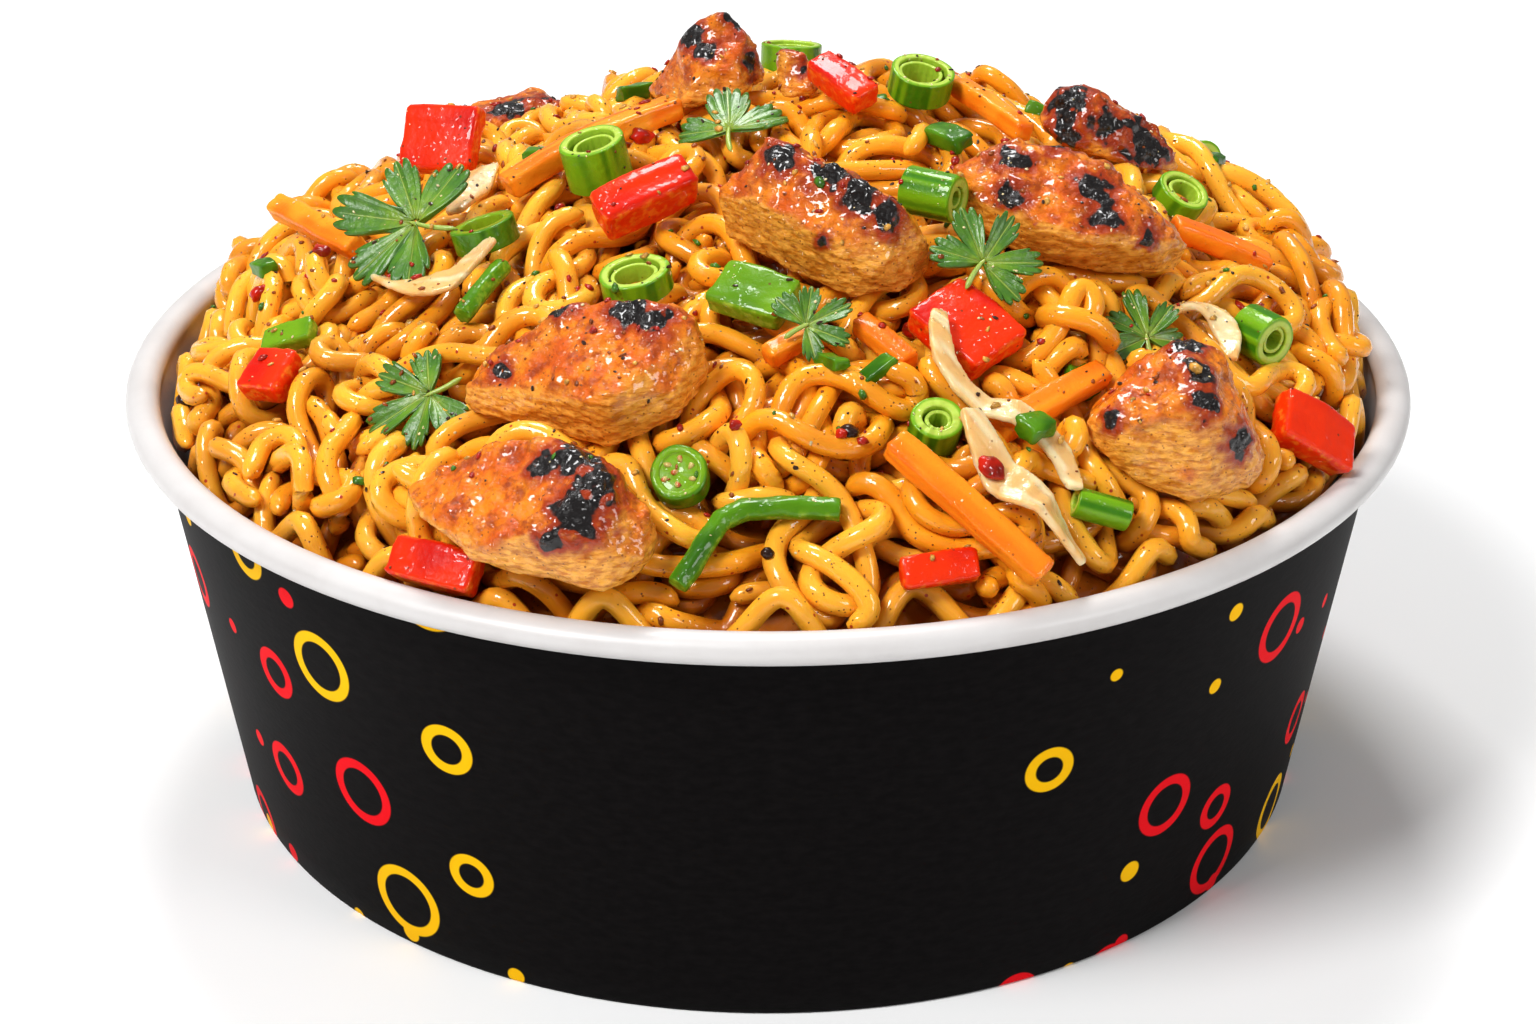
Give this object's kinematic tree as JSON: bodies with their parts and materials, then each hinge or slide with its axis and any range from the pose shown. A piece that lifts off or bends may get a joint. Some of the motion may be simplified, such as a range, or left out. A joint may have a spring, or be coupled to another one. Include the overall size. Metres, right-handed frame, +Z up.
{
  "type": "noodle takeaway bowl",
  "caption": "Round takeaway paper bowl with a rolled rim, heaped with curly fried noodles, grilled chicken pieces, cut vegetables and fresh coriander.",
  "frame": {"origin": "on the table, under the middle of the bowl", "axes": "+Z up out of the bowl, -Y towards the viewer of the picture, +X to the viewer's right"},
  "size_m": [0.184, 0.184, 0.1066],
  "materials": {
    "bowl_paper": "matte black printed outside, white inside and on the rolled rim",
    "base_paper": "satin white",
    "noodle": "cooked wheat noodle, oily gloss; soft food",
    "chicken": "grilled and glazed meat, charred in places; soft food",
    "red_pepper": "glossy cut pepper; food",
    "green_vegetable": "glossy cut green vegetable; food",
    "carrot": "moist cut carrot; food",
    "onion": "fried onion, half translucent; food",
    "coriander": "fresh leaf; food"
  },
  "bodies": {
    "root": {"bowl": "bowl_paper", "bowl_base": "base_paper", "carrot_back": "carrot", "carrot_centre": "carrot", "carrot_far_right": "carrot", "carrot_front": "carrot", "carrot_left": "carrot", "carrot_right": "carrot", "carrot_small": "carrot", "carrot_top_left": "carrot", "carrot_top_right": "carrot", "chicken_back": "chicken", "chicken_back_left": "chicken", "chicken_far_right": "chicken", "chicken_front": "chicken", "chicken_left": "chicken", "chicken_middle": "chicken", "chicken_right": "chicken", "chicken_side": "chicken", "chicken_top": "chicken", "chicken_top_small": "chicken", "chilli_ring": "green_vegetable", "chilli_slice": "green_vegetable", "green_bean": "green_vegetable", "green_pepper_centre": "green_vegetable", "green_pepper_left": "green_vegetable", "green_strip": "green_vegetable", "leaf_back": "coriander", "leaf_centre": "coriander", "leaf_front": "coriander", "leaf_left": "coriander", "leaf_right": "coriander", "leaf_small": "coriander", "leaf_top": "coriander", "noodles": "noodle", "onion_back": "onion", "onion_curl": "onion", "onion_front": "onion", "onion_left": "onion", "onion_right": "onion", "onion_top_left": "onion", "red_pepper_back": "red_pepper", "red_pepper_back_left": "red_pepper", "red_pepper_centre": "red_pepper", "red_pepper_front": "red_pepper", "red_pepper_left": "red_pepper", "red_pepper_left_centre": "red_pepper", "red_pepper_low": "red_pepper", "red_pepper_right": "red_pepper", "red_pepper_top": "red_pepper", "spring_onion_back": "green_vegetable", "spring_onion_back_right": "green_vegetable", "spring_onion_centre": "green_vegetable", "spring_onion_far_right": "green_vegetable", "spring_onion_front": "green_vegetable", "spring_onion_left": "green_vegetable", "spring_onion_low": "green_vegetable", "spring_onion_right": "green_vegetable", "spring_onion_ring": "green_vegetable", "spring_onion_top": "green_vegetable"}
  },
  "joints": []
}
